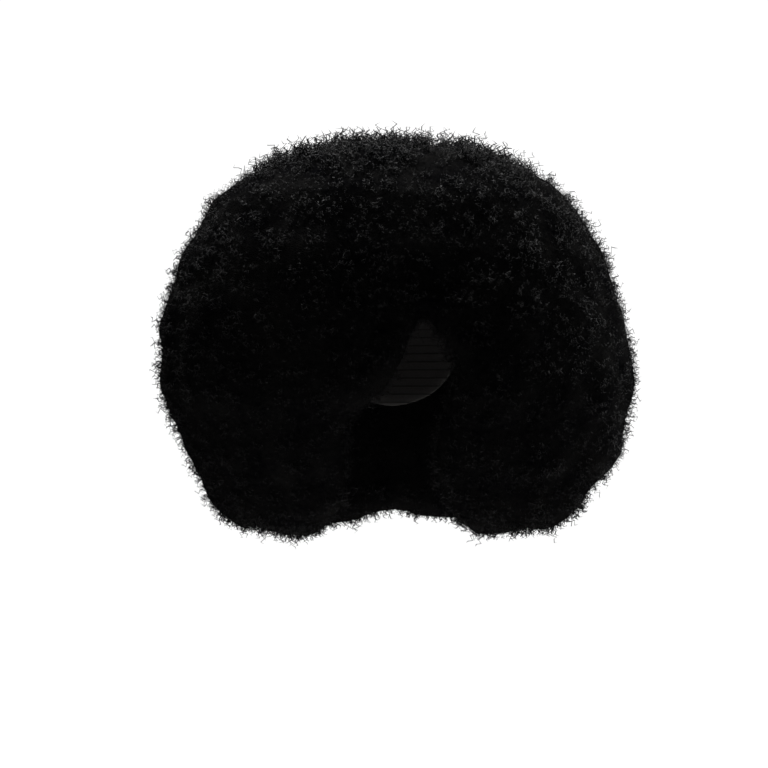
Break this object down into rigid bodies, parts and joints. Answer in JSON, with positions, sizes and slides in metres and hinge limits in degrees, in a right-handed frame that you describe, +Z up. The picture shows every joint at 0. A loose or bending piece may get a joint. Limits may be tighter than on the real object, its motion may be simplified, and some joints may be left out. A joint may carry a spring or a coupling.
{
  "type": "afro wig",
  "caption": "Full round afro wig with side-swept fringe: soft ball of tightly curled hair sewn to a head-shaped cap, open at the face and below.",
  "frame": {"origin": "inside top of the cap, where the crown of the head touches it", "axes": "+Z up out of the head, the face opening looks along -Y, +X to the right seen from in front of the face"},
  "size_m": [0.4886, 0.4289, 0.4175],
  "materials": {
    "hair": "matte",
    "cap_net": "matte"
  },
  "bodies": {
    "root": {"cap": "cap_net", "hair_crown": "hair", "hair_left": "hair", "hair_right": "hair", "hair_back": "hair", "fringe": "hair"}
  },
  "joints": []
}
